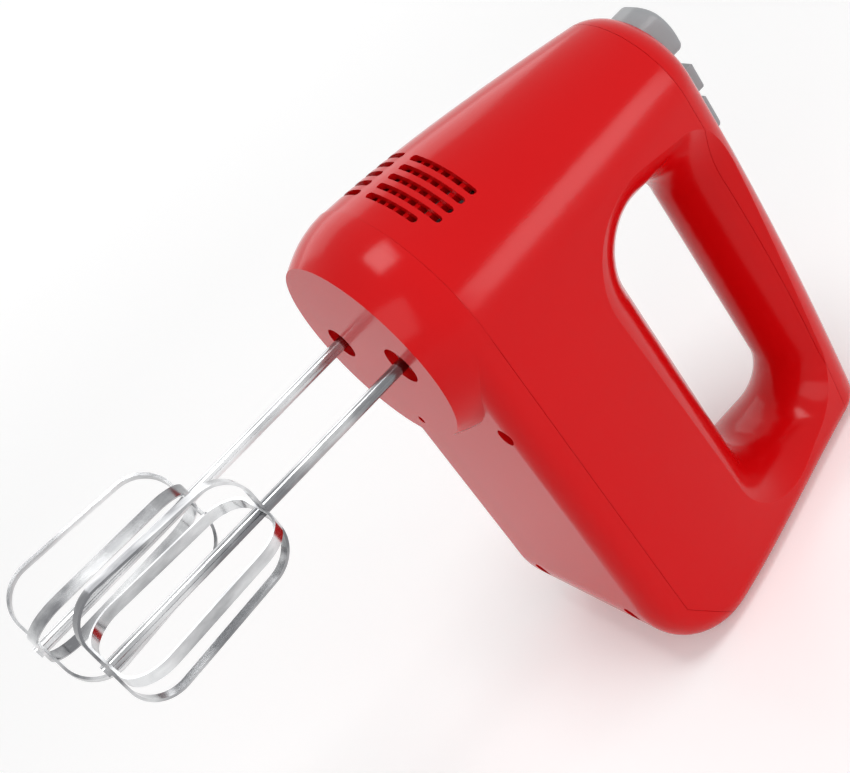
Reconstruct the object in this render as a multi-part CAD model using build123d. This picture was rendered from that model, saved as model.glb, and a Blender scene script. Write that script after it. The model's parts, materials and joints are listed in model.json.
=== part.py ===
from build123d import *
import os
from math import asin, atan2, copysign, cos, hypot, pi, radians, sin, tan

# Hand mixer with two wire beaters, in millimetres.
# It is modelled in its working frame: x runs from the nose to the heel, y from the left side to the
# right side, z upwards, and the origin lies in the nose face midway between the two beaters.
# The last step stands the whole mixer on its flat heel, nose up, as it is put down on a table.

# Body: each level gives a height, the radius of the nose and the half width at the heel
BODY_LEVELS = (
    (5.0, 45.2, 44.8),
    (45.0, 43.6, 42.8),
    (85.0, 38.9, 33.0),
    (122.0, 33.0, 22.5),
    (165.0, 25.0, 12.0),
)
WALL = 2.6
UNDERSIDE_HEIGHT = 9.0
TOP_ARC = ((-70.0, 143.5), (60.0, 151.8), (200.0, 146.0))
DECK = ((-6.0, 149.5), (4.0, 147.2), (31.0, 147.6), (45.0, 151.8))
DECK_ROUNDING = 15.0
HEEL_AT_BASE = 169.0
HEEL_LEAN = 1.0
HEEL_REST_HEIGHT = 88.0
HEEL_ROUNDING = 34.0
SIDE_ROUNDING = 9.0
TOP_ROUNDING = 16.0

# Limits of the cutting shapes: past the body sideways, far above it, and just past a cut face
FAR = 100.0
SKY = 300.0
PAST = 1.0

# Round nose that stands below the belly and ends inside the lower seam, slightly proud of the body
NOSE_FACE_RADIUS = 39.4
NOSE_MID_RADIUS = 43.6
NOSE_RADIUS = 45.3
NOSE_MID_HEIGHT = 10.0
NOSE_HEIGHT = 21.95
NOSE_FLOOR = 3.0
PORT_X = 33.0
PORT_RADIUS = 1.6
PORT_DEPTH = 1.8

# Finger opening under the handle; it flares towards both sides like a trumpet
OPENING_FRONT = 25.3
OPENING_REAR = 145.5
OPENING_FLOOR = 86.6
OPENING_ROOF = 125.9
OPENING_CORNER = 17.0
FLARE_REACH = 43.5
FLARE_FRONT = 47.0
FLARE_REAR = 45.0
FLARE_FLOOR = 33.0
FLARE_ROOF = 100.0
FLARE_CORNER = 40.0
FLARE_STEPS = 5
FLARE_STEP_ANGLE = 16.0

# Seams between the three mouldings
SEAM_GAP = 0.15
SEAM_HEIGHT = 22.0
SEAM_BEND = 143.0
SEAM_HEEL_HEIGHT = 43.0
SEAM_HEEL = 171.0
COVER_SEAM = ((-60.0, 132.5), (60.0, 139.0), (200.0, 131.5))

# Thick floor inside the handle, which carries the electrics
HANDLE_FLOOR_FRONT = 24.0
HANDLE_FLOOR_BOTTOM = 100.0
CHANNEL_FLOOR = 132.0

# Air slots in the front wall
VENT_ROWS = 5
VENT_FIRST = 30.6
VENT_PITCH = 5.1
VENT_SLOT = 2.8
VENT_RIB_HALF = 2.6
VENT_REACH = 30.0
VENT_SHORT_REACH = 25.5
VENT_DEPTH_END = -20.0
VENT_ROUNDING = 1.2

# Housing screws
SCREW_PLACES = ((40.0, -35.0), (40.0, 35.0), (140.0, -28.0), (140.0, 28.0))
SCREW_BOSS_RADIUS = 4.8
SCREW_RECESS_RADIUS = 3.6
SCREW_RECESS_TOP = 15.0
SCREW_RADIUS = 1.6
SCREW_CLEARANCE = 0.1
SCREW_HEAD_RADIUS = 3.2
SCREW_HEAD = 2.4
SCREW_TOP = 34.0
SCREW_BOSS_TOP = 40.0
BOSS_RIB = 3.0

# Beaters
BEATER_SPACING = 40.0
SIDES = {"left": -BEATER_SPACING / 2, "right": BEATER_SPACING / 2}
SHAFT_RADIUS = 2.3
RIVET_RADIUS = 1.3
RIVET_HEAD = 1.0
RUNNING_CLEARANCE = 0.075
SHAFT_TOP = 34.0
LOOP_TOP = -65.2
LOOP_BOTTOM = -135.6
RIGHT_BEATER_DROP = 9.8
LOOP_HALF_WIDTH = 25.5
LOOP_NECK_HALF_WIDTH = 21.0
LOOP_CORNER = 14.0
STRIP_WIDTH = 4.2
STRIP_THICKNESS = 1.0
RIGHT_BEATER_PHASE = 45.0
EAR_SPAN = 8.4
EAR_THICKNESS = 1.4
EAR_BOTTOM = 6.0
EAR_HEIGHT = 6.0
EAR_CLEARANCE = 0.35

# Worm drive
MOTOR_AXIS = 44.0
GEAR_MODULE = 1.5
WHEEL_TEETH = 21
PRESSURE_SLOPE = tan(radians(20.0))
WHEEL_PITCH_RADIUS = GEAR_MODULE * WHEEL_TEETH / 2
WORM_PITCH_RADIUS = BEATER_SPACING / 2 - WHEEL_PITCH_RADIUS
LEAD = pi * GEAR_MODULE
WHEEL_ADDENDUM = 1.1
WHEEL_DEDENDUM = 1.6
WHEEL_TOOTH = 2.1
WHEEL_WIDTH = 7.0
WORM_ADDENDUM = 1.2
WORM_CORE_RADIUS = 2.8
WORM_ROOT_SINK = 0.25
WORM_THREAD = 1.6
WORM_TURNS = 4
SPINDLE_RADIUS = 5.0
SPINDLE_TOP_RADIUS = 4.0
SPINDLE_BOTTOM = 2.5
SPINDLE_SHOULDER = 50.6
SPINDLE_TOP = 55.0
SPINDLE_BUSH_RADIUS = 6.6
SPINDLE_BOSS_RADIUS = 9.5
SPINDLE_BOSS_TOP = 14.0
SPINDLE_HOLE_RADII = {"left": 7.5, "right": 6.5}
BRIDGE_BOTTOM = 51.0
BRIDGE_THICKNESS = 3.5
BRIDGE_HALF_LENGTH = 26.0
BRIDGE_HALF_WIDTH = 29.0
BRIDGE_CORNER = 8.0
BRIDGE_POST_RADIUS = 3.0
BRIDGE_POST_X = 23.0
BRIDGE_POST_Y = 22.0
HANGER_X = 20.0
HANGER_LENGTH = 6.0
HANGER_HALF_WIDTH = 7.0
HANGER_BOTTOM = 37.5

# Motor
MOTOR_SHAFT_RADIUS = 2.5
BUSH_CLEARANCE = 0.04
BUSH_RADIUS = 4.6
SHAFT_FRONT = -26.0
SHAFT_REAR = 122.0
STACK_FRONT = 62.0
STACK_LENGTH = 24.0
ARMATURE_RADIUS = 14.0
AIR_GAP = 0.5
ARMATURE_SLOTS = 10
ARMATURE_SLOT_WIDTH = 2.0
ARMATURE_SLOT_DEPTH = 5.0
WINDING_RADIUS = 12.5
WINDING_LENGTH = 6.0
WINDING_ROUNDING = 2.0
COMMUTATOR_FRONT = 96.0
COMMUTATOR_LENGTH = 11.0
COMMUTATOR_RADIUS = 8.0
FAN_FRONT = 36.0
FAN_LENGTH = 9.0
FAN_RADIUS = 23.0
FAN_HUB_RADIUS = 6.0
FAN_BLADES = 9
FAN_SHEET = 1.2
STATOR_HALF_WIDTH = 28.0
STATOR_HALF_HEIGHT = 23.0
STATOR_CORNER = 6.0
COIL_INNER_Y = 15.0
COIL_OUTER_Y = 21.0
COIL_INNER_Z = 12.3
COIL_OUTER_Z = 17.7
COIL_OVERHANG = 5.8
COIL_CLEARANCE = 0.3
COIL_CORNER = 4.0
BRACKET_FRONT = 116.0
BRACKET_THICKNESS = 3.0
BRACKET_BOSS_FRONT = 111.0
BRACKET_BOSS_RADIUS = 8.0
BRACKET_ARM = 5.0
BOLT_RADIUS = 1.5
BOLT_HEAD_RADIUS = 2.8
BOLT_HEAD = 2.0
BOLT_Y = 24.5
BOLT_Z = 19.0
CRADLE_LENGTH = 8.0
CRADLE_HALF_WIDTH = 20.0
BRUSH_X = 101.5
BRUSH_HALF = 2.8
BRUSH_GAP = 0.35
BRUSH_LENGTH = 11.0
HOLDER_HALF = 4.4
HOLDER_INNER_Y = 9.0
HOLDER_OUTER_Y = 25.0

# Buttons and switches on the handle
BUTTON_CLEARANCE = 0.4
BUTTON_EDGE = 2.5
EJECT_FRONT = -23.0
EJECT_REAR = -0.3
EJECT_HALF_WIDTH = 9.0
EJECT_BOTTOM = 145.0
EJECT_FRONT_TOP = 154.5
EJECT_TOP = 160.2
EJECT_CROWN = (-11.0, 159.9)
EJECT_CORNER = 7.0
EJECT_TRAVEL = 7.0
STEM_X = -9.0
STEM_RADIUS = 3.0
SHELF_BOTTOM = 108.0
SHELF_THICKNESS = 3.0
SHELF_REAR = 4.0
SPRING_RADIUS = 5.0
SPRING_WIRE_RADIUS = 0.5
SPRING_TURNS = 7
EJECTOR_CLEARANCE = 0.6
EJECTOR_THICKNESS = 3.0
EJECTOR_FRONT = -14.0
EJECTOR_REAR = 5.0
EJECTOR_HALF_WIDTH = 24.0
EJECTOR_CORNER = 4.0
CONTACT_GAP = 0.3
SLIDER_CENTRE = 13.2
SLIDER_LENGTH = 10.4
SLIDER_HALF_WIDTH = 6.0
SLIDER_BOTTOM = 148.5
SLIDER_TOP = 161.4
SLIDER_TRAVEL = 6.0
SLIDER_NECK_HALF_LENGTH = 2.5
SLIDER_NECK_HALF_WIDTH = 1.6
SWITCH_TONGUE_FRONT = 1.0
SWITCH_TONGUE_HALF_WIDTH = 11.0
SWITCH_TOP = 143.0
SPEED_SWITCH_FRONT = 3.0
SPEED_SWITCH_REAR = 19.5
SWITCH_HALF_WIDTH = 9.0
TURBO_FRONT = 21.5
TURBO_REAR = 35.0
TURBO_HALF_WIDTH = 6.0
TURBO_TOP = 158.3
TURBO_BOTTOM = 145.5
TURBO_TRAVEL = 2.5
TURBO_SWITCH_TOP = 141.5
TURBO_SWITCH_FRONT = 22.0
TURBO_SWITCH_REAR = 36.0
TURBO_STEM_RADIUS = 2.0
BOARD_FRONT = 52.0
BOARD_REAR = 104.0
BOARD_HALF_WIDTH = 10.0
BOARD_THICKNESS = 1.6
CAPACITOR_SIZE = (16.0, 8.0, 11.0)
CAPACITOR_MARGIN = 3.0
CAPACITOR_CORNER = 1.5
INLET_FRONT = 158.0
INLET_HEIGHT = 133.5
INLET_RADIUS = 5.0
INLET_BORE = 3.3
INLET_SINK = 0.8


def box(x, y, z):
    """A block between two limits along each axis."""
    size = [limits[1] - limits[0] for limits in (x, y, z)]
    centre = [(limits[1] + limits[0]) / 2 for limits in (x, y, z)]
    return Pos(*centre) * Box(*size)


def post(x, y, radius, bottom, top):
    """An upright round bar."""
    return Pos(x, y, (bottom + top) / 2) * Cylinder(radius, top - bottom)


def rod(radius, front, rear, y=0.0, z=MOTOR_AXIS):
    """A round bar along x, on the motor axis unless placed elsewhere."""
    return Pos((front + rear) / 2, y, z) * Rot(0, 90, 0) * Cylinder(radius, rear - front)


def side_profile(*points):
    """A closed outline in the side view, as a face."""
    return Plane.XZ * make_face(Polyline(*points, close=True))


def across(face, half_width=FAR):
    """A side-view face given thickness to the left and the right."""
    return extrude(face, half_width, both=True, dir=(0, 1, 0))


def heel_x(z):
    return HEEL_AT_BASE - z * tan(radians(HEEL_LEAN))


def plan_section(z, nose_radius, heel_half, inset):
    """Horizontal outline of the body: a round nose and straight sides that run past the heel."""
    radius = nose_radius - inset
    half = heel_half - inset
    turn = asin(radius / hypot(HEEL_AT_BASE, half)) - atan2(half, HEEL_AT_BASE)
    touch = (radius * sin(turn), radius * cos(turn))
    rear = HEEL_AT_BASE + SIDE_ROUNDING
    rear_half = half - SIDE_ROUNDING * tan(turn)
    ring = [
        ThreePointArc((touch[0], -touch[1]), (-radius, 0), touch),
        Line(touch, (rear, rear_half)),
        Line((rear, rear_half), (rear, -rear_half)),
        Line((rear, -rear_half), (touch[0], -touch[1])),
    ]
    return Pos(0, 0, z) * make_face(ring)


def region_under_arc(points, lift):
    """Everything under an arc in the side view."""
    ends = [(x, z + lift) for x, z in points]
    sides = Polyline(ends[2], (ends[2][0], -FAR), (ends[0][0], -FAR), ends[0])
    return across(Plane.XZ * make_face([ThreePointArc(*ends), sides]))


def is_on_heel(edge):
    middle = edge.center()
    return abs(middle.X - heel_x(middle.Z)) < WALL + PAST


def is_lower_rim(edge):
    """True for the edges between the belly's underside and its sides."""
    middle = edge.center()
    return middle.Z < MOTOR_AXIS and abs(middle.Y) > SIDE_ROUNDING


def tapered_body(inset):
    """The body without its nose: a tapering loft trimmed by belly, heel and top, rims rounded."""
    sides = loft([plan_section(*level, inset) for level in BODY_LEVELS])
    bottom = UNDERSIDE_HEIGHT + inset
    outline = side_profile(
        (-FAR, bottom), (heel_x(bottom) - inset, bottom), (heel_x(SKY) - inset, SKY), (-FAR, SKY)
    )
    corner = outline.vertices().sort_by(Axis.Z)[:2].sort_by(Axis.X)[-1]
    outline = fillet(corner, HEEL_ROUNDING - inset)
    trimmed = sides & across(outline) & region_under_arc(TOP_ARC, -inset)
    top_edges = trimmed.faces().sort_by(Axis.Z)[-1].edges()
    trimmed = fillet([edge for edge in top_edges if not is_on_heel(edge)], TOP_ROUNDING - inset)
    rims = [edge for edge in trimmed.edges() if is_lower_rim(edge) or is_on_heel(edge)]
    return fillet(rims, SIDE_ROUNDING - inset)


def nose(inset, floor):
    """The round nose, flaring from its flat face up to the body."""
    flare = Spline(
        (NOSE_FACE_RADIUS - inset, floor),
        (NOSE_MID_RADIUS - inset, NOSE_MID_HEIGHT + floor),
        (NOSE_RADIUS - inset, NOSE_HEIGHT),
        tangents=[(1, 2), (0, 1)],
    )
    rest = Polyline((NOSE_RADIUS - inset, NOSE_HEIGHT), (0, NOSE_HEIGHT), (0, floor), flare @ 0)
    return revolve(Plane.XZ * make_face([flare, rest]), Axis.Z)


def flared_hole(grow):
    """The finger opening as a solid: a rounded hole that widens towards both sides."""
    sections = []
    for step in range(-FLARE_STEPS, FLARE_STEPS + 1):
        angle = radians(FLARE_STEP_ANGLE * step)
        spread = 1 - cos(angle)
        y = (FLARE_REACH - grow) * sin(angle)
        front = OPENING_FRONT - grow - (FLARE_FRONT - grow) * spread
        rear = OPENING_REAR + grow + (FLARE_REAR - grow) * spread
        floor = OPENING_FLOOR - grow - (FLARE_FLOOR - grow) * spread
        roof = OPENING_ROOF + grow + (FLARE_ROOF - grow) * spread
        outline = side_profile((front, floor), (rear, floor), (rear, roof), (front, roof))
        corner = OPENING_CORNER + grow + FLARE_CORNER * spread
        sections.append(Pos(0, y, 0) * fillet(outline.vertices(), corner))
    return loft(sections)


def room_over_deck(drop):
    """What is cut away over the lowered deck that carries the slider and the turbo button."""
    front, low, high, rear = [(x, z - drop) for x, z in DECK]
    outline = side_profile(front, low, high, rear, (rear[0], SKY), (front[0], SKY))
    bends = [vertex for vertex in outline.vertices() if front[0] < vertex.X < rear[0]]
    return across(fillet(bends, DECK_ROUNDING))


def inner_hollow():
    """The room inside the mouldings, one wall further in, without the thick floor of the handle."""
    handle_floor = box((HANDLE_FLOOR_FRONT, SKY), (-FAR, FAR), (HANDLE_FLOOR_BOTTOM, CHANNEL_FLOOR))
    room = tapered_body(WALL) - flared_hole(WALL) - handle_floor - room_over_deck(WALL)
    return room + nose(WALL, NOSE_FLOOR)


def region_below_seam(drop):
    """Everything under the lower seam, which climbs towards the heel."""
    slope = (SEAM_HEEL_HEIGHT - SEAM_HEIGHT) / (SEAM_HEEL - SEAM_BEND)
    outline = side_profile(
        (-FAR, -FAR),
        (-FAR, SEAM_HEIGHT - drop),
        (SEAM_BEND, SEAM_HEIGHT - drop),
        (SEAM_BEND + FAR, SEAM_HEIGHT + slope * FAR - drop),
        (SEAM_BEND + FAR, -FAR),
    )
    return across(outline)


def vent_slots():
    slots = []
    for row in range(VENT_ROWS):
        z = VENT_FIRST + row * VENT_PITCH
        reach = VENT_SHORT_REACH if row == 0 else VENT_REACH
        for side in (-1, 1):
            limits = sorted((side * VENT_RIB_HALF, side * reach))
            slot = box((-FAR, VENT_DEPTH_END), limits, (z, z + VENT_SLOT))
            slots.append(fillet(slot.edges().filter_by(Axis.X), VENT_ROUNDING))
    return slots


def make_housings():
    outer = tapered_body(0.0) - flared_hole(0.0) - room_over_deck(0.0) + nose(0.0, 0.0)
    shell = outer - inner_hollow() - button_openings()
    shell = shell - rod(INLET_RADIUS, INLET_FRONT, HEEL_AT_BASE, 0, INLET_HEIGHT)

    lower = shell & region_below_seam(SEAM_GAP)
    bosses = [post(x, y, SCREW_BOSS_RADIUS, 0, SEAM_HEIGHT - SEAM_GAP) & outer for x, y in SCREW_PLACES]
    cradle_y = (-CRADLE_HALF_WIDTH, CRADLE_HALF_WIDTH)
    cradle_z = (UNDERSIDE_HEIGHT + WALL / 2, MOTOR_AXIS - STATOR_HALF_HEIGHT)
    stack_middle = STACK_FRONT + STACK_LENGTH / 2
    cradle_x = (stack_middle - CRADLE_LENGTH / 2, stack_middle + CRADLE_LENGTH / 2)
    bosses.append(box(cradle_x, cradle_y, cradle_z))
    bosses.append(box((BRACKET_FRONT, BRACKET_FRONT + BRACKET_THICKNESS), cradle_y, cradle_z))
    for y in SIDES.values():
        bosses.append(post(0, y, SPINDLE_BOSS_RADIUS, NOSE_FLOOR / 2, SPINDLE_BOSS_TOP))
    lower = lower + bosses
    for x, y in SCREW_PLACES:
        lower = lower - post(x, y, SCREW_RECESS_RADIUS, 0, SCREW_RECESS_TOP)
        lower = lower - post(x, y, SCREW_RADIUS + SCREW_CLEARANCE, 0, SEAM_HEIGHT)
    for side, y in SIDES.items():
        lower = lower - post(0, y, SPINDLE_HOLE_RADII[side], -PAST, NOSE_FLOOR)
        lower = lower - post(0, y, SPINDLE_BUSH_RADIUS, NOSE_FLOOR, SPINDLE_BOSS_TOP)
    lower = lower - post(PORT_X, 0, PORT_RADIUS, -PAST, PORT_DEPTH)

    main = (shell - region_below_seam(0.0)) & region_under_arc(COVER_SEAM, -SEAM_GAP)
    main = main - vent_slots()
    shelf = box((-FAR, SHELF_REAR), (-FAR, FAR), (SHELF_BOTTOM, SHELF_BOTTOM + SHELF_THICKNESS))
    shelf = shelf & tapered_body(WALL / 2)
    main = main + (shelf - post(STEM_X, 0, STEM_RADIUS + BUTTON_CLEARANCE, 0, EJECT_BOTTOM))
    main = main + box(
        (SWITCH_TONGUE_FRONT, HANDLE_FLOOR_FRONT + WALL),
        (-SWITCH_TONGUE_HALF_WIDTH, SWITCH_TONGUE_HALF_WIDTH),
        (CHANNEL_FLOOR - SHELF_THICKNESS, CHANNEL_FLOOR),
    )
    for x, y in SCREW_PLACES:
        boss = post(x, y, SCREW_BOSS_RADIUS, SEAM_HEIGHT, SCREW_BOSS_TOP)
        wall_side = sorted((y, copysign(FAR, y)))
        rib = box((x - BOSS_RIB / 2, x + BOSS_RIB / 2), wall_side, (SEAM_HEIGHT, SCREW_BOSS_TOP)) & outer
        main = main + (boss + rib - region_below_seam(0.0))
        main = main - post(x, y, SCREW_RADIUS, SEAM_HEIGHT, SCREW_TOP)

    cover = shell - region_under_arc(COVER_SEAM, 0.0)
    return {"lower_housing": lower, "main_housing": main, "handle_cover": cover}


def button_openings():
    gap = BUTTON_CLEARANCE
    eject_half = EJECT_HALF_WIDTH + gap
    turbo_half = TURBO_HALF_WIDTH + gap
    neck_half = SLIDER_NECK_HALF_WIDTH + gap
    eject_low = EJECT_BOTTOM - EJECT_TRAVEL
    neck_front = SLIDER_CENTRE - SLIDER_TRAVEL - SLIDER_NECK_HALF_LENGTH - gap
    neck_rear = SLIDER_CENTRE + SLIDER_NECK_HALF_LENGTH + gap
    eject_slot = box((EJECT_FRONT - gap, EJECT_REAR + gap), (-eject_half, eject_half), (eject_low - gap, SKY))
    slot_corners = eject_slot.edges().filter_by(Axis.Z).group_by(Axis.X)[0]
    return [
        fillet(slot_corners, EJECT_CORNER + gap),
        box((TURBO_FRONT - gap, TURBO_REAR + gap), (-turbo_half, turbo_half), (SWITCH_TOP, SKY)),
        box((neck_front, neck_rear), (-neck_half, neck_half), (SWITCH_TOP, SKY)),
    ]


def make_screws():
    screws = []
    for x, y in SCREW_PLACES:
        head = post(x, y, SCREW_HEAD_RADIUS, SCREW_RECESS_TOP - SCREW_HEAD, SCREW_RECESS_TOP)
        screws.append(head + post(x, y, SCREW_RADIUS, SCREW_RECESS_TOP, SCREW_TOP))
    return {"housing_screws": Compound(screws)}


def make_buttons():
    back = Polyline(
        (EJECT_FRONT, EJECT_FRONT_TOP),
        (EJECT_FRONT, EJECT_BOTTOM),
        (EJECT_REAR, EJECT_BOTTOM),
        (EJECT_REAR, EJECT_TOP),
    )
    crown = ThreePointArc((EJECT_REAR, EJECT_TOP), EJECT_CROWN, (EJECT_FRONT, EJECT_FRONT_TOP))
    eject = across(Plane.XZ * make_face([back, crown]), EJECT_HALF_WIDTH)
    front_corners = eject.edges().filter_by(Axis.Z).group_by(Axis.X)[0]
    eject = fillet(front_corners, EJECT_CORNER)
    eject = fillet([e for e in eject.edges() if e.center().Z > EJECT_FRONT_TOP - BUTTON_EDGE], BUTTON_EDGE)
    ejector_bottom = SPINDLE_TOP + EJECT_TRAVEL + EJECTOR_CLEARANCE
    ejector_top = ejector_bottom + EJECTOR_THICKNESS
    plate = box(
        (EJECTOR_FRONT, EJECTOR_REAR),
        (-EJECTOR_HALF_WIDTH, EJECTOR_HALF_WIDTH),
        (ejector_bottom, ejector_top),
    )
    plate = fillet(plate.edges().filter_by(Axis.Z), EJECTOR_CORNER)
    spring_start = SHELF_BOTTOM + SHELF_THICKNESS + SPRING_WIRE_RADIUS
    spring_length = EJECT_BOTTOM - SPRING_WIRE_RADIUS - spring_start
    coil = Helix(spring_length / SPRING_TURNS, spring_length, SPRING_RADIUS)
    wire = Plane(coil @ 0, z_dir=coil % 0) * Circle(SPRING_WIRE_RADIUS)
    spring = Pos(STEM_X, 0, spring_start) * sweep(wire, coil)

    slider = box(
        (SLIDER_CENTRE - SLIDER_LENGTH / 2, SLIDER_CENTRE + SLIDER_LENGTH / 2),
        (-SLIDER_HALF_WIDTH, SLIDER_HALF_WIDTH),
        (SLIDER_BOTTOM, SLIDER_TOP),
    )
    slider = fillet(slider.edges().group_by(Axis.Z)[-1], BUTTON_EDGE / 2)
    slider = slider + box(
        (SLIDER_CENTRE - SLIDER_NECK_HALF_LENGTH, SLIDER_CENTRE + SLIDER_NECK_HALF_LENGTH),
        (-SLIDER_NECK_HALF_WIDTH, SLIDER_NECK_HALF_WIDTH),
        (SWITCH_TOP + CONTACT_GAP, SLIDER_TOP - BUTTON_EDGE),
    )
    turbo = box((TURBO_FRONT, TURBO_REAR), (-TURBO_HALF_WIDTH, TURBO_HALF_WIDTH), (TURBO_BOTTOM, TURBO_TOP))
    turbo = fillet(turbo.edges().group_by(Axis.Z)[-1], BUTTON_EDGE)
    turbo = turbo + post(
        (TURBO_FRONT + TURBO_REAR) / 2,
        0,
        TURBO_STEM_RADIUS,
        TURBO_SWITCH_TOP + TURBO_TRAVEL + CONTACT_GAP,
        TURBO_BOTTOM,
    )
    return {
        "eject_button": eject,
        "eject_stem": post(STEM_X, 0, STEM_RADIUS, ejector_top, EJECT_BOTTOM),
        "ejector_plate": plate,
        "eject_spring": spring,
        "speed_slider": slider,
        "turbo_button": turbo,
    }


def make_electrics():
    half = SWITCH_HALF_WIDTH
    board = box(
        (BOARD_FRONT, BOARD_REAR),
        (-BOARD_HALF_WIDTH, BOARD_HALF_WIDTH),
        (CHANNEL_FLOOR, CHANNEL_FLOOR + BOARD_THICKNESS),
    )
    length, width, height = CAPACITOR_SIZE
    capacitor = box(
        (BOARD_REAR - length - CAPACITOR_MARGIN, BOARD_REAR - CAPACITOR_MARGIN),
        (-width / 2, width / 2),
        (CHANNEL_FLOOR + BOARD_THICKNESS, CHANNEL_FLOOR + BOARD_THICKNESS + height),
    )
    inlet_rear = heel_x(INLET_HEIGHT) - INLET_SINK
    gland = rod(INLET_RADIUS, INLET_FRONT, inlet_rear, 0, INLET_HEIGHT)
    gland = gland - rod(INLET_BORE, INLET_FRONT - PAST, inlet_rear + PAST, 0, INLET_HEIGHT)
    speed_x = (SPEED_SWITCH_FRONT, SPEED_SWITCH_REAR)
    turbo_x = (TURBO_SWITCH_FRONT, TURBO_SWITCH_REAR)
    return {
        "speed_switch": box(speed_x, (-half, half), (CHANNEL_FLOOR, SWITCH_TOP)),
        "turbo_switch": box(turbo_x, (-half, half), (CHANNEL_FLOOR, TURBO_SWITCH_TOP)),
        "control_board": board,
        "board_capacitor": fillet(capacitor.edges().filter_by(Axis.Z), CAPACITOR_CORNER),
        "cord_inlet": gland,
    }


def wheel_outline(turn):
    """Toothed outline of a worm wheel, with a gap pointing along -y when turn is zero."""
    tip = WHEEL_PITCH_RADIUS + WHEEL_ADDENDUM
    root = WHEEL_PITCH_RADIUS - WHEEL_DEDENDUM
    tip_half = (WHEEL_TOOTH / 2 - WHEEL_ADDENDUM * PRESSURE_SLOPE) / tip
    root_half = (WHEEL_TOOTH / 2 + WHEEL_DEDENDUM * PRESSURE_SLOPE) / root
    points = []
    for tooth in range(WHEEL_TEETH):
        middle = -pi / 2 + (tooth + 0.5) * 2 * pi / WHEEL_TEETH + turn
        for radius, offset in ((root, -root_half), (tip, -tip_half), (tip, tip_half), (root, root_half)):
            points.append((radius * cos(middle + offset), radius * sin(middle + offset)))
    return make_face(Polyline(*points, close=True))


def make_wheel(side):
    """A worm wheel whose teeth follow the slope of the worm thread."""
    y = SIDES[side]
    slope = LEAD / (2 * pi * WORM_PITCH_RADIUS)
    half_twist = slope * WHEEL_WIDTH / 2 / WHEEL_PITCH_RADIUS
    facing = 0.0 if side == "right" else pi + pi / WHEEL_TEETH
    low = Pos(0, 0, -WHEEL_WIDTH / 2) * wheel_outline(facing - half_twist)
    high = Pos(0, 0, WHEEL_WIDTH / 2) * wheel_outline(facing + half_twist)
    wheel = loft([low, high], ruled=True) - Cylinder(SPINDLE_RADIUS, 2 * WHEEL_WIDTH)
    return Pos(0, y, MOTOR_AXIS) * wheel


def make_spindle(side):
    y = SIDES[side]
    spindle = post(0, y, SPINDLE_RADIUS, SPINDLE_BOTTOM, SPINDLE_SHOULDER)
    spindle = spindle + post(0, y, SPINDLE_TOP_RADIUS, SPINDLE_SHOULDER, SPINDLE_TOP)
    spindle = spindle - post(0, y, SHAFT_RADIUS + RUNNING_CLEARANCE, 0, SPINDLE_TOP + PAST)
    half_slot = EAR_THICKNESS / 2 + EAR_CLEARANCE
    slot_top = EAR_BOTTOM + EAR_HEIGHT + EAR_CLEARANCE
    slot = box((-2 * SPINDLE_RADIUS, 2 * SPINDLE_RADIUS), (y - half_slot, y + half_slot), (0, slot_top))
    return spindle - slot


def make_drive():
    parts = {}
    bridge = box(
        (-BRIDGE_HALF_LENGTH, BRIDGE_HALF_LENGTH),
        (-BRIDGE_HALF_WIDTH, BRIDGE_HALF_WIDTH),
        (BRIDGE_BOTTOM, BRIDGE_BOTTOM + BRIDGE_THICKNESS),
    )
    bridge = fillet(bridge.edges().filter_by(Axis.Z), BRIDGE_CORNER)
    for x in (-BRIDGE_POST_X, BRIDGE_POST_X):
        for y in (-BRIDGE_POST_Y, BRIDGE_POST_Y):
            bridge = bridge + post(x, y, BRIDGE_POST_RADIUS, NOSE_FLOOR, BRIDGE_BOTTOM)
    for place, x in (("front", -HANGER_X), ("rear", HANGER_X)):
        limits = (x - HANGER_LENGTH / 2, x + HANGER_LENGTH / 2)
        hanger = box(limits, (-HANGER_HALF_WIDTH, HANGER_HALF_WIDTH), (HANGER_BOTTOM, BRIDGE_BOTTOM))
        bush = rod(BUSH_RADIUS, *limits)
        bridge = bridge + hanger - bush
        parts[f"worm_{place}_bush"] = bush - rod(MOTOR_SHAFT_RADIUS + BUSH_CLEARANCE, *limits)
    for side, y in SIDES.items():
        bore = SPINDLE_TOP_RADIUS + RUNNING_CLEARANCE
        bridge = bridge - post(0, y, bore, BRIDGE_BOTTOM - PAST, BRIDGE_BOTTOM + BRIDGE_THICKNESS + PAST)
        bush = post(0, y, SPINDLE_BUSH_RADIUS, NOSE_FLOOR, SPINDLE_BOSS_TOP)
        spindle_room = post(0, y, SPINDLE_RADIUS + RUNNING_CLEARANCE, 0, SPINDLE_TOP)
        parts[f"{side}_spindle_bush"] = bush - spindle_room
        parts[f"{side}_wheel"] = make_wheel(side)
        parts[f"{side}_spindle"] = make_spindle(side)
        pin_top = SPINDLE_TOP + EJECT_TRAVEL + EJECTOR_CLEARANCE - CONTACT_GAP
        parts[f"{side}_push_pin"] = post(0, y, SHAFT_RADIUS, SHAFT_TOP + CONTACT_GAP, pin_top)
    parts["gear_bridge"] = bridge
    return parts


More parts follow.
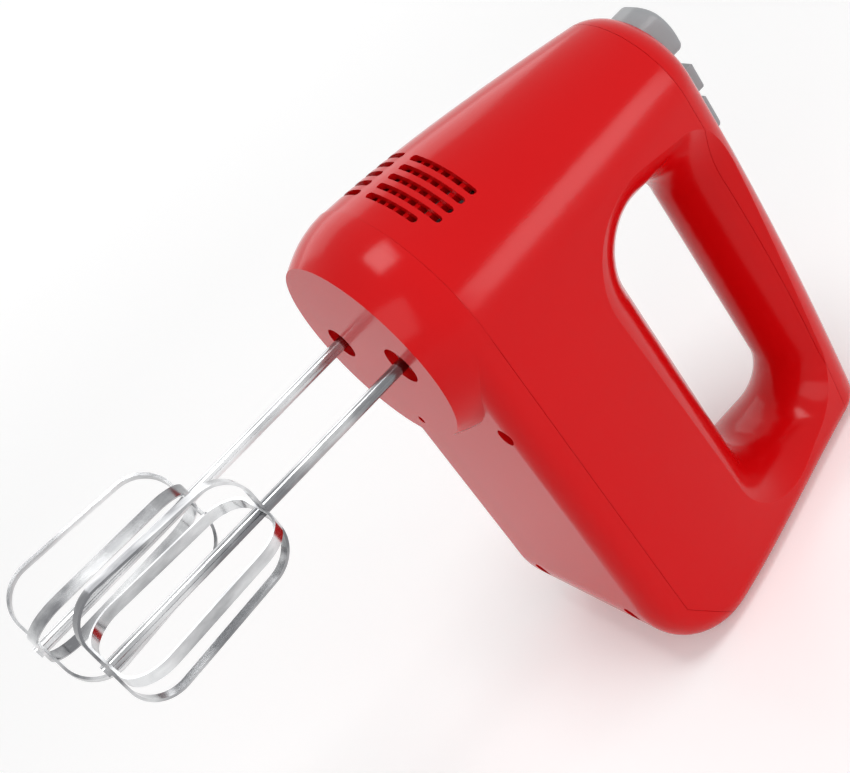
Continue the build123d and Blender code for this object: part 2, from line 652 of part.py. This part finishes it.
def make_worm():
    """A single-start worm: a trapezoid swept along a helix round a plain core."""
    half_length = WORM_TURNS * LEAD / 2
    root = WORM_CORE_RADIUS - WORM_ROOT_SINK
    tip = WORM_PITCH_RADIUS + WORM_ADDENDUM
    tip_half = WORM_THREAD / 2 - WORM_ADDENDUM * PRESSURE_SLOPE
    root_half = WORM_THREAD / 2 + (WORM_PITCH_RADIUS - root) * PRESSURE_SLOPE
    path = Helix(LEAD, WORM_TURNS * LEAD, WORM_PITCH_RADIUS)
    tooth = side_profile((root, -root_half), (tip, -tip_half), (tip, tip_half), (root, root_half))
    thread = sweep(tooth, path, is_frenet=True)
    core = Pos(0, 0, half_length) * Cylinder(WORM_CORE_RADIUS, 2 * half_length + LEAD)
    worm = core + thread - Pos(0, 0, half_length) * Cylinder(MOTOR_SHAFT_RADIUS, 4 * half_length)
    along_shaft = Plane(origin=(-half_length, 0, MOTOR_AXIS), x_dir=(0, 1, 0), z_dir=(1, 0, 0))
    return along_shaft.location * worm


def make_fan():
    fan = rod(FAN_HUB_RADIUS, FAN_FRONT, FAN_FRONT + FAN_LENGTH) + rod(
        FAN_RADIUS, FAN_FRONT + FAN_LENGTH - FAN_SHEET, FAN_FRONT + FAN_LENGTH
    )
    blade = box(
        (FAN_FRONT, FAN_FRONT + FAN_LENGTH - FAN_SHEET / 2),
        (FAN_HUB_RADIUS - PAST, FAN_RADIUS),
        (-FAN_SHEET / 2, FAN_SHEET / 2),
    )
    for index in range(FAN_BLADES):
        fan = fan + Pos(0, 0, MOTOR_AXIS) * Rot(360 / FAN_BLADES * index, 0, 0) * blade
    return fan - rod(MOTOR_SHAFT_RADIUS, FAN_FRONT - PAST, FAN_FRONT + FAN_LENGTH + PAST)


def make_motor():
    rear = STACK_FRONT + STACK_LENGTH
    bore = rod(MOTOR_SHAFT_RADIUS, SHAFT_FRONT, SHAFT_REAR)
    core = rod(ARMATURE_RADIUS, STACK_FRONT, rear) - bore
    slot = box(
        (STACK_FRONT - PAST, rear + PAST),
        (ARMATURE_RADIUS - ARMATURE_SLOT_DEPTH, ARMATURE_RADIUS + PAST),
        (-ARMATURE_SLOT_WIDTH / 2, ARMATURE_SLOT_WIDTH / 2),
    )
    for index in range(ARMATURE_SLOTS):
        core = core - Pos(0, 0, MOTOR_AXIS) * Rot(360 / ARMATURE_SLOTS * index, 0, 0) * slot
    windings = []
    for front in (STACK_FRONT - WINDING_LENGTH, rear):
        ring = rod(WINDING_RADIUS, front, front + WINDING_LENGTH) - bore
        rims = ring.edges().filter_by(GeomType.CIRCLE).filter_by(lambda e: e.radius > ARMATURE_SLOT_DEPTH)
        windings.append(fillet(rims, WINDING_ROUNDING))
    commutator = rod(COMMUTATOR_RADIUS, COMMUTATOR_FRONT, COMMUTATOR_FRONT + COMMUTATOR_LENGTH) - bore

    middle = Pos(STACK_FRONT + STACK_LENGTH / 2, 0, MOTOR_AXIS)
    stator = middle * Box(STACK_LENGTH, 2 * STATOR_HALF_WIDTH, 2 * STATOR_HALF_HEIGHT)
    stator = fillet(stator.edges().filter_by(Axis.X), STATOR_CORNER)
    stator = stator - rod(ARMATURE_RADIUS + AIR_GAP, STACK_FRONT - PAST, rear + PAST)
    coils = []
    gap = COIL_CLEARANCE
    for side in (-1, 1):
        y = side * (COIL_INNER_Y + COIL_OUTER_Y) / 2
        thick = COIL_OUTER_Y - COIL_INNER_Y
        ring = Box(STACK_LENGTH + 2 * COIL_OVERHANG, thick, 2 * COIL_OUTER_Z)
        ring = fillet(ring.edges().filter_by(Axis.Y), COIL_CORNER)
        ring = ring - Box(STACK_LENGTH + 2 * gap, 2 * thick, 2 * COIL_INNER_Z)
        coils.append(middle * Pos(0, y, 0) * ring)
        for level in (-1, 1):
            z = level * (COIL_INNER_Z + COIL_OUTER_Z) / 2
            window = Box(2 * STACK_LENGTH, thick + 2 * gap, COIL_OUTER_Z - COIL_INNER_Z + 2 * gap)
            stator = stator - middle * Pos(0, y, z) * window

    plate_end = BRACKET_FRONT + BRACKET_THICKNESS
    bracket = box(
        (BRACKET_FRONT, plate_end),
        (-STATOR_HALF_WIDTH, STATOR_HALF_WIDTH),
        (MOTOR_AXIS - STATOR_HALF_HEIGHT, MOTOR_AXIS + STATOR_HALF_HEIGHT),
    )
    bracket = fillet(bracket.edges().filter_by(Axis.X), STATOR_CORNER)
    bracket = bracket + rod(BRACKET_BOSS_RADIUS, BRACKET_BOSS_FRONT, plate_end)
    holders = {}
    brushes = {}
    for name, side in (("left", -1), ("right", 1)):
        reach = sorted((side * HOLDER_INNER_Y, side * HOLDER_OUTER_Y))
        outer = [(BRUSH_X - HOLDER_HALF, BRUSH_X + HOLDER_HALF), reach]
        tube = box(*outer, (MOTOR_AXIS - HOLDER_HALF, MOTOR_AXIS + HOLDER_HALF))
        inner_y = side * (COMMUTATOR_RADIUS + BRUSH_GAP)
        brush_y = sorted((inner_y, inner_y + side * BRUSH_LENGTH))
        across_brush = (BRUSH_X - BRUSH_HALF, BRUSH_X + BRUSH_HALF)
        high = (MOTOR_AXIS - BRUSH_HALF, MOTOR_AXIS + BRUSH_HALF)
        holders[f"{name}_brush_holder"] = tube - box(across_brush, (-FAR, FAR), high)
        brushes[f"{name}_brush"] = box(across_brush, brush_y, high)
        arm_x = (BRUSH_X + HOLDER_HALF, BRACKET_FRONT)
        arm_y = sorted((side * (HOLDER_OUTER_Y - BRACKET_ARM), side * HOLDER_OUTER_Y))
        arm_z = (MOTOR_AXIS - HOLDER_HALF, MOTOR_AXIS + HOLDER_HALF)
        bracket = bracket + box(arm_x, arm_y, arm_z)
    bolts = []
    bracket = bracket - rod(BUSH_RADIUS, BRACKET_BOSS_FRONT - PAST, plate_end + PAST)
    for y in (-BOLT_Y, BOLT_Y):
        z = MOTOR_AXIS + BOLT_Z * (1 if y > 0 else -1)
        shank = rod(BOLT_RADIUS, STACK_FRONT, plate_end, y, z)
        bracket = bracket - shank
        stator = stator - shank
        bolts.append(shank + rod(BOLT_HEAD_RADIUS, STACK_FRONT - BOLT_HEAD, STACK_FRONT, y, z))
    bush = rod(BUSH_RADIUS, BRACKET_BOSS_FRONT, plate_end)
    bush = bush - rod(MOTOR_SHAFT_RADIUS + BUSH_CLEARANCE, BRACKET_BOSS_FRONT - PAST, plate_end + PAST)
    return {
        "motor_shaft": bore,
        "worm": make_worm(),
        "cooling_fan": make_fan(),
        "armature_core": core,
        "armature_winding": Compound(windings),
        "commutator": commutator,
        "stator_core": stator,
        "field_coils": Compound(coils),
        "rear_bracket": bracket,
        "rear_bush": bush,
        "motor_bolts": Compound(bolts),
        **holders,
        **brushes,
    }


def make_loop(inset, turn):
    """A closed flat strip, bent to a rounded trapezoid round the beater shaft."""
    top = LOOP_TOP - inset
    bottom = LOOP_BOTTOM + inset
    rings = []
    for grow in (0.0, STRIP_THICKNESS):
        outline = side_profile(
            (-LOOP_NECK_HALF_WIDTH + grow, top - grow),
            (LOOP_NECK_HALF_WIDTH - grow, top - grow),
            (LOOP_HALF_WIDTH - grow, bottom + grow),
            (-LOOP_HALF_WIDTH + grow, bottom + grow),
        )
        rings.append(across(fillet(outline.vertices(), LOOP_CORNER - grow), STRIP_WIDTH / 2))
    strip = rings[0] - rings[1]
    return Rot(0, 0, turn) * (strip - post(0, 0, RIVET_RADIUS, LOOP_BOTTOM - PAST, LOOP_TOP + PAST))


def make_beater(side):
    drop = RIGHT_BEATER_DROP if side == "right" else 0.0
    phase = RIGHT_BEATER_PHASE if side == "right" else 0.0
    place = Pos(0, SIDES[side], -drop)
    strips = 2 * STRIP_THICKNESS
    shaft = post(0, 0, RIVET_RADIUS, LOOP_BOTTOM, LOOP_TOP)
    shaft = shaft + post(0, 0, SHAFT_RADIUS, LOOP_TOP, SHAFT_TOP + drop)
    shaft = shaft + post(0, 0, SHAFT_RADIUS, LOOP_BOTTOM + strips, LOOP_TOP - strips)
    shaft = shaft + post(0, 0, SHAFT_RADIUS, LOOP_BOTTOM - RIVET_HEAD, LOOP_BOTTOM)
    ears = box(
        (-EAR_SPAN / 2, EAR_SPAN / 2),
        (-EAR_THICKNESS / 2, EAR_THICKNESS / 2),
        (EAR_BOTTOM + drop, EAR_BOTTOM + EAR_HEIGHT + drop),
    )
    return {
        f"{side}_beater_shaft": place * (shaft + ears),
        f"{side}_beater_outer_loop": place * make_loop(0.0, phase),
        f"{side}_beater_inner_loop": place * make_loop(STRIP_THICKNESS, phase + 90.0),
    }


def stand_on_heel(shape):
    """Turn the mixer from its working frame so that the heel face lies on the floor."""
    lean = radians(HEEL_LEAN)
    heel = Plane(
        origin=(heel_x(HEEL_REST_HEIGHT), 0, HEEL_REST_HEIGHT),
        x_dir=(-sin(lean), 0, cos(lean)),
        z_dir=(-cos(lean), 0, -sin(lean)),
    )
    return heel.location.inverse() * shape


def main():
    os.makedirs("parts", exist_ok=True)
    parts = {}
    parts.update(make_housings())
    parts.update(make_screws())
    parts.update(make_buttons())
    parts.update(make_electrics())
    parts.update(make_drive())
    parts.update(make_motor())
    for side in SIDES:
        parts.update(make_beater(side))
    for name, shape in parts.items():
        export_step(stand_on_heel(shape), f"parts/{name}.step")


main()
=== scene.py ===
import bpy
import json
from math import radians
from mathutils import Matrix, Vector


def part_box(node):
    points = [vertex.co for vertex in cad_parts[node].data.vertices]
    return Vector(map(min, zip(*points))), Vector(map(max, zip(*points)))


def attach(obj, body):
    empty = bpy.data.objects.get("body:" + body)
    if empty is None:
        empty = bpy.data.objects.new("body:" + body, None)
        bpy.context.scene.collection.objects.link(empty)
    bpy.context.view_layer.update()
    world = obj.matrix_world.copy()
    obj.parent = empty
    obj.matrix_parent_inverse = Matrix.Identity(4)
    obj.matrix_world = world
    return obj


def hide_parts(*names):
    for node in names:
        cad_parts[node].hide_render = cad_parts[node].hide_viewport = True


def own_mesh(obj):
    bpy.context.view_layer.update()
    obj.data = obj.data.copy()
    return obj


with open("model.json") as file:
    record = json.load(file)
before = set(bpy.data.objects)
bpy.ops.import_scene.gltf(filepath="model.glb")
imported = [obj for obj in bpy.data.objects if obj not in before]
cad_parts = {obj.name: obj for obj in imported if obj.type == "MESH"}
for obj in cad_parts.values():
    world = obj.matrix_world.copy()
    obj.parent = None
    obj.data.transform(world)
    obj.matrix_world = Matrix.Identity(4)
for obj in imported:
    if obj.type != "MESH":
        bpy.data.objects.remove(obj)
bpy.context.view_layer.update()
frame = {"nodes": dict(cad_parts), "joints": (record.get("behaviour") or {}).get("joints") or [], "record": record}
nodes = frame["nodes"]

# Places and lengths are in metres, in the frame's own axes: the mixer stands on its heel, with the
# beaters pointing along -X, the camera's side towards -Y and the front of the body upwards.

# The camera stands in front of the nose, to the left of the mixer and above it, and is rolled.
CAMERA_AT = Vector((-0.2247, -0.5003, 0.4544))
CAMERA_AIM = Vector((-0.0713, 0.0199, 0.1319))
CAMERA_ROLL = radians(38.6)
CAMERA_LENS = 74.0
SENSOR = 36.0
NEAREST_SEEN = 0.01

# Ribs behind the air slots, on each side of the middle bar. Along X they run from the bar between
# the slots and the nose to the bar on the slots' other side.
LATTICE_RIBS = 6
LATTICE_FIRST = 0.0055
LATTICE_PITCH = 0.0045
LATTICE_ENDS = (-0.0550, -0.0297)
LATTICE_RIB = 0.0016
LATTICE_DEPTH = 0.0028

# How far below the top of the housing the search for the inside of its front wall starts.
SHELL_SEARCH = 0.03

# The corners of a rib's six faces: corners 0 to 3 are on its one side, 4 to 7 on the other.
RIB_FACES = (
    (0, 1, 3, 2),
    (4, 6, 7, 5),
    (0, 4, 5, 1),
    (2, 3, 7, 6),
    (0, 2, 6, 4),
    (1, 5, 7, 3),
)

# How much further the turbo button stands out than its solid.
TURBO_RAISE = 0.002

# The floor's own white, near the mixer and far off, and the distances between which it changes.
FLOOR_SIZE = 12.0
FLOOR_LIFT = (0.17, 0.55)
FLOOR_FADE = (0.5, 2.2)

# The sky's strength as light on the object, and where it is seen.
SKY_LIGHT = 0.42
SKY_SEEN = 1.0
WHITE = (1.0, 1.0, 1.0, 1.0)

# Each lamp's place, its width and height, and its power in watts. All point at the body's middle.
# The low lamp is mirrored in the curve between the front and the side, the top lamp on the nose.
BODY_MIDDLE = (0.0, 0.0, 0.11)
LAMPS = {
    "top": ((-0.05, -0.2, 1.3), (0.45, 0.45), 5.2),
    "low": ((0.62, -0.93, 0.2), (0.6, 0.36), 3.5),
    "side": ((-0.9, -0.9, 0.8), (0.8, 0.8), 4.0),
    "back": ((0.3, 1.2, 0.9), (1.2, 0.8), 4.0),
}

# Textures: about how many features they have in a metre, and how deep their relief is.
CLOUD_SCALE = 14.0
GLOSS_SCALE = 45.0
MARK_SCALE = 60.0
WIRE_SCALE = 420.0
SHEET_SCALE = 620.0
COARSE_RELIEF = 0.0004
FINE_RELIEF = 0.0002

# How a texture is scaled along X, Y and Z: below 1 its features are drawn out.
ALONG_BEATERS = (0.06, 1.0, 1.0)
HALF_ALONG = (0.4, 1.0, 1.0)
EVERY_WAY = (1.0, 1.0, 1.0)


def linear(*levels):
    """A colour picked from a screen (0 to 255 each) as the linear values that shaders take.

    The numbers are those of the sRGB curve.
    """
    values = []
    for level in levels:
        part = level / 255
        values.append(part / 12.92 if part <= 0.04045 else ((part + 0.055) / 1.055) ** 2.4)
    return (*values, 1.0)


def shader(name, **inputs):
    """A new material, its node tree and its principled shader with the named inputs set."""
    material = bpy.data.materials.new(name)
    material.use_nodes = True
    tree = material.node_tree
    principled = tree.nodes["Principled BSDF"]
    for key, value in inputs.items():
        principled.inputs[key.replace("_", " ")].default_value = value
    return material, tree, principled


def place_texture(tree, stretch=EVERY_WAY):
    """Object coordinates, scaled along the axes."""
    coordinates = tree.nodes.new("ShaderNodeTexCoord")
    mapping = tree.nodes.new("ShaderNodeMapping")
    mapping.inputs["Scale"].default_value = stretch
    tree.links.new(coordinates.outputs["Object"], mapping.inputs["Vector"])
    return mapping.outputs["Vector"]


def noise(tree, where, scale, detail=3.0):
    texture = tree.nodes.new("ShaderNodeTexNoise")
    texture.inputs["Scale"].default_value = scale
    texture.inputs["Detail"].default_value = detail
    tree.links.new(where, texture.inputs["Vector"])
    return texture.outputs["Fac"]


def spread(tree, value, low, high, start=0.0, end=1.0):
    """Maps a value from the range start to end to the range low to high."""
    node = tree.nodes.new("ShaderNodeMapRange")
    node.inputs["From Min"].default_value = start
    node.inputs["From Max"].default_value = end
    node.inputs["To Min"].default_value = low
    node.inputs["To Max"].default_value = high
    tree.links.new(value, node.inputs["Value"])
    return node.outputs["Result"]


def two_tone(tree, value, first, second, band=(0.0, 1.0)):
    """A colour between two, picked by a value as it rises through the band."""
    ramp = tree.nodes.new("ShaderNodeValToRGB")
    for element, colour, position in zip(ramp.color_ramp.elements, (first, second), band):
        element.color = colour
        element.position = position
    tree.links.new(value, ramp.inputs["Fac"])
    return ramp.outputs["Color"]


def add_bump(tree, principled, height, strength, distance):
    bump = tree.nodes.new("ShaderNodeBump")
    bump.inputs["Strength"].default_value = strength
    bump.inputs["Distance"].default_value = distance
    tree.links.new(height, bump.inputs["Height"])
    tree.links.new(bump.outputs["Normal"], principled.inputs["Normal"])


def moulded_plastic(name, colour, darker, roughness, grain_scale, grain, mirror=0.5):
    """Plastic from a mould: a faint unevenness of colour and gloss, and a fine grain."""
    material, tree, principled = shader(name, Specular_IOR_Level=mirror)
    where = place_texture(tree)
    cloud = noise(tree, where, CLOUD_SCALE)
    tree.links.new(two_tone(tree, cloud, darker, colour), principled.inputs["Base Color"])
    tree.links.new(
        spread(tree, noise(tree, where, GLOSS_SCALE), roughness * 0.85, roughness * 1.15),
        principled.inputs["Roughness"],
    )
    add_bump(tree, principled, noise(tree, where, grain_scale, 2.0), grain, COARSE_RELIEF)
    return material


def worked_metal(name, colour, darker, roughness, stretch, grain, band=(0.0, 1.0)):
    """Bare metal with fine marks, which the stretch draws out along one direction."""
    material, tree, principled = shader(name, Metallic=1.0)
    where = place_texture(tree, stretch)
    marks = noise(tree, where, MARK_SCALE, 5.0)
    tree.links.new(two_tone(tree, marks, darker, colour, band), principled.inputs["Base Color"])
    tree.links.new(
        spread(tree, marks, roughness * 0.6, roughness * 1.4), principled.inputs["Roughness"]
    )
    add_bump(tree, principled, marks, grain, FINE_RELIEF)
    return material


def wound_wire(name):
    """Enamelled copper wire, laid side by side along the motor's axis."""
    material, tree, principled = shader(name, Metallic=0.85, Roughness=0.3)
    where = place_texture(tree)
    turns = tree.nodes.new("ShaderNodeTexWave")
    turns.bands_direction = "X"
    turns.inputs["Scale"].default_value = WIRE_SCALE
    turns.inputs["Distortion"].default_value = 0.6
    tree.links.new(where, turns.inputs["Vector"])
    tree.links.new(
        two_tone(tree, turns.outputs["Fac"], linear(110, 52, 26), linear(205, 118, 68)),
        principled.inputs["Base Color"],
    )
    add_bump(tree, principled, turns.outputs["Fac"], 0.6, COARSE_RELIEF)
    return material


def stacked_sheet(name):
    """Steel sheets stacked along the motor's axis, seen at their edges."""
    material, tree, principled = shader(name, Metallic=0.9, Roughness=0.45)
    where = place_texture(tree)
    layers = tree.nodes.new("ShaderNodeTexWave")
    layers.bands_direction = "Z"
    layers.inputs["Scale"].default_value = SHEET_SCALE
    tree.links.new(where, layers.inputs["Vector"])
    tree.links.new(
        two_tone(tree, layers.outputs["Fac"], linear(70, 70, 74), linear(138, 138, 140)),
        principled.inputs["Base Color"],
    )
    add_bump(tree, principled, layers.outputs["Fac"], 0.4, FINE_RELIEF)
    return material


materials = {
    "red_plastic": moulded_plastic(
        "glossy_red", linear(206, 8, 13), linear(200, 6, 11), 0.16, 1400.0, 0.03, mirror=0.16
    ),
    "grey_plastic": moulded_plastic(
        "satin_grey", linear(150, 152, 154), linear(140, 142, 145), 0.38, 2200.0, 0.12
    ),
    "black_plastic": moulded_plastic(
        "black_moulding", linear(34, 34, 36), linear(26, 26, 28), 0.5, 1800.0, 0.15
    ),
    "white_nylon": moulded_plastic(
        "white_nylon", linear(232, 230, 220), linear(222, 219, 206), 0.42, 1600.0, 0.1
    ),
    "carbon": moulded_plastic(
        "pressed_carbon", linear(52, 52, 54), linear(38, 38, 40), 0.6, 2600.0, 0.3
    ),
    "circuit_board": moulded_plastic(
        "board_green", linear(54, 96, 60), linear(44, 82, 50), 0.45, 900.0, 0.2
    ),
    "steel_screw": worked_metal(
        "zinc_steel", linear(196, 198, 200), linear(160, 162, 166), 0.35, EVERY_WAY, 0.1
    ),
    "shaft_steel": worked_metal(
        "ground_steel", linear(206, 207, 208), linear(170, 171, 174), 0.28, ALONG_BEATERS, 0.08
    ),
    "beater_steel": worked_metal(
        "polished_steel",
        linear(228, 229, 230),
        linear(122, 123, 126),
        0.16,
        HALF_ALONG,
        0.01,
        band=(0.36, 0.64),
    ),
    "bronze": worked_metal(
        "sintered_bronze", linear(186, 138, 88), linear(150, 104, 60), 0.4, EVERY_WAY, 0.2
    ),
    "die_cast": worked_metal(
        "die_cast_alloy", linear(188, 190, 192), linear(150, 152, 156), 0.5, EVERY_WAY, 0.3
    ),
    "laminated_steel": stacked_sheet("stacked_sheet"),
    "copper_wire": wound_wire("enamelled_wire"),
}

slots = {part["node"]: part["material_slot"] for part in frame["record"]["subparts"]}
for node, slot in slots.items():
    nodes[node].data.materials.clear()
    nodes[node].data.materials.append(materials[slot])


def add_piece(name, mesh, body, slot):
    """Puts a mesh into the scene on a body, in the finish of one of the part's material slots."""
    piece = bpy.data.objects.new(name, mesh)
    bpy.context.scene.collection.objects.link(piece)
    mesh.materials.clear()
    mesh.materials.append(materials[slot])
    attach(piece, body)
    return piece


def inner_wall(along, across):
    """The place on the inside of the front wall above a point within the housing."""
    low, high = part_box("main_housing")
    inside = Vector((along, across, high.z - SHELL_SEARCH))
    upwards = Vector((0.0, 0.0, 1.0))
    return nodes["main_housing"].ray_cast(inside, upwards)[1]


def make_vent_lattice():
    """Ribs of the housing's own plastic behind the air slots, square to them."""
    corners = []
    faces = []
    inwards = Vector((0.0, 0.0, -LATTICE_DEPTH))
    for side in (-1, 1):
        for rib in range(LATTICE_RIBS):
            middle = side * (LATTICE_FIRST + rib * LATTICE_PITCH)
            first = len(corners)
            for across in (middle - LATTICE_RIB / 2, middle + LATTICE_RIB / 2):
                for along in LATTICE_ENDS:
                    wall = inner_wall(along, across)
                    corners += [wall, wall + inwards]
            for face in RIB_FACES:
                faces.append([first + corner for corner in face])
    mesh = bpy.data.meshes.new("vent_lattice")
    mesh.from_pydata(corners, [], faces)
    add_piece("vent_lattice", mesh, "housing", slots["main_housing"])


def joint_named(name):
    return next(joint for joint in frame["joints"] if joint["name"] == name)


def against(joint):
    """The direction opposite to the one in which a button is pressed."""
    return -Vector(joint["axis"]).normalized()


def make_taller_turbo_button():
    """The turbo button's own shape with its outer half moved out along the way it is pressed."""
    outwards = against(joint_named("turbo_press"))
    low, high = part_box("turbo_button")
    middle = (low + high) / 2
    mesh = nodes["turbo_button"].data.copy()
    for vertex in mesh.vertices:
        if (vertex.co - middle).dot(outwards) > 0:
            vertex.co += outwards * TURBO_RAISE
    piece = add_piece("tall_turbo_button", mesh, "turbo_button", slots["turbo_button"])
    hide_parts("turbo_button")


def make_pressed_spring():
    """A copy of the eject button's spring, on the eject button's body, in place of the spring's own solid."""
    piece = add_piece(
        "pressed_eject_spring", nodes["eject_spring"].data.copy(), "eject", slots["eject_spring"]
    )
    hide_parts("eject_spring")
    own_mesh(piece)


def seen_or_mirrored(tree):
    """1 for what the camera sees, also mirrored or through glass, and 0 for light on the object."""
    path = tree.nodes.new("ShaderNodeLightPath")
    seen = path.outputs["Is Camera Ray"]
    for other in ("Is Glossy Ray", "Is Transmission Ray"):
        either = tree.nodes.new("ShaderNodeMath")
        either.operation = "MAXIMUM"
        tree.links.new(seen, either.inputs[0])
        tree.links.new(path.outputs[other], either.inputs[1])
        seen = either.outputs["Value"]
    return seen


def make_stage():
    """A floor with a white of its own where it is seen, so that little but the shadow shows."""
    bpy.ops.mesh.primitive_plane_add(size=FLOOR_SIZE)
    floor = bpy.context.object
    floor.name = "floor"
    material, tree, principled = shader("pale_floor", Roughness=0.9)
    principled.inputs["Base Color"].default_value = linear(246, 246, 246)
    principled.inputs["Emission Color"].default_value = WHITE
    distance = tree.nodes.new("ShaderNodeVectorMath")
    distance.operation = "LENGTH"
    tree.links.new(place_texture(tree), distance.inputs["Vector"])
    lift = spread(tree, distance.outputs["Value"], *FLOOR_LIFT, *FLOOR_FADE)
    seen_lift = tree.nodes.new("ShaderNodeMath")
    seen_lift.operation = "MULTIPLY"
    tree.links.new(seen_or_mirrored(tree), seen_lift.inputs[0])
    tree.links.new(lift, seen_lift.inputs[1])
    tree.links.new(seen_lift.outputs["Value"], principled.inputs["Emission Strength"])
    floor.data.materials.append(material)


def make_world():
    """A white studio: soft light all round, and plain white where it is seen or mirrored."""
    world = bpy.data.worlds.new("studio")
    world.use_nodes = True
    tree = world.node_tree
    background = tree.nodes["Background"]
    background.inputs["Color"].default_value = WHITE
    strength = spread(tree, seen_or_mirrored(tree), SKY_LIGHT, SKY_SEEN)
    tree.links.new(strength, background.inputs["Strength"])
    bpy.context.scene.world = world


def aimed(place, aim):
    """The turn that points a lamp or camera from its place at its aim."""
    return (Vector(aim) - Vector(place)).to_track_quat("-Z", "Y")


def add_lamp(name, place, size, power):
    lamp = bpy.data.lights.new(name, "AREA")
    lamp.shape = "RECTANGLE"
    lamp.size, lamp.size_y = size
    lamp.energy = power
    holder = bpy.data.objects.new(name, lamp)
    holder.location = place
    holder.rotation_euler = aimed(place, BODY_MIDDLE).to_euler()
    bpy.context.scene.collection.objects.link(holder)


def make_camera():
    data = bpy.data.cameras.new("camera")
    data.lens = CAMERA_LENS
    data.sensor_width = SENSOR
    data.clip_start = NEAREST_SEEN
    camera = bpy.data.objects.new("camera", data)
    level = aimed(CAMERA_AT, CAMERA_AIM).to_matrix().to_4x4()
    roll = Matrix.Rotation(-CAMERA_ROLL, 4, "Z")
    camera.matrix_world = Matrix.Translation(CAMERA_AT) @ level @ roll
    bpy.context.scene.collection.objects.link(camera)
    bpy.context.scene.camera = camera


make_vent_lattice()
make_taller_turbo_button()
make_pressed_spring()
make_stage()
make_world()
for name, (place, size, power) in LAMPS.items():
    add_lamp(name, place, size, power)
make_camera()
bpy.context.scene.view_settings.view_transform = "Standard"
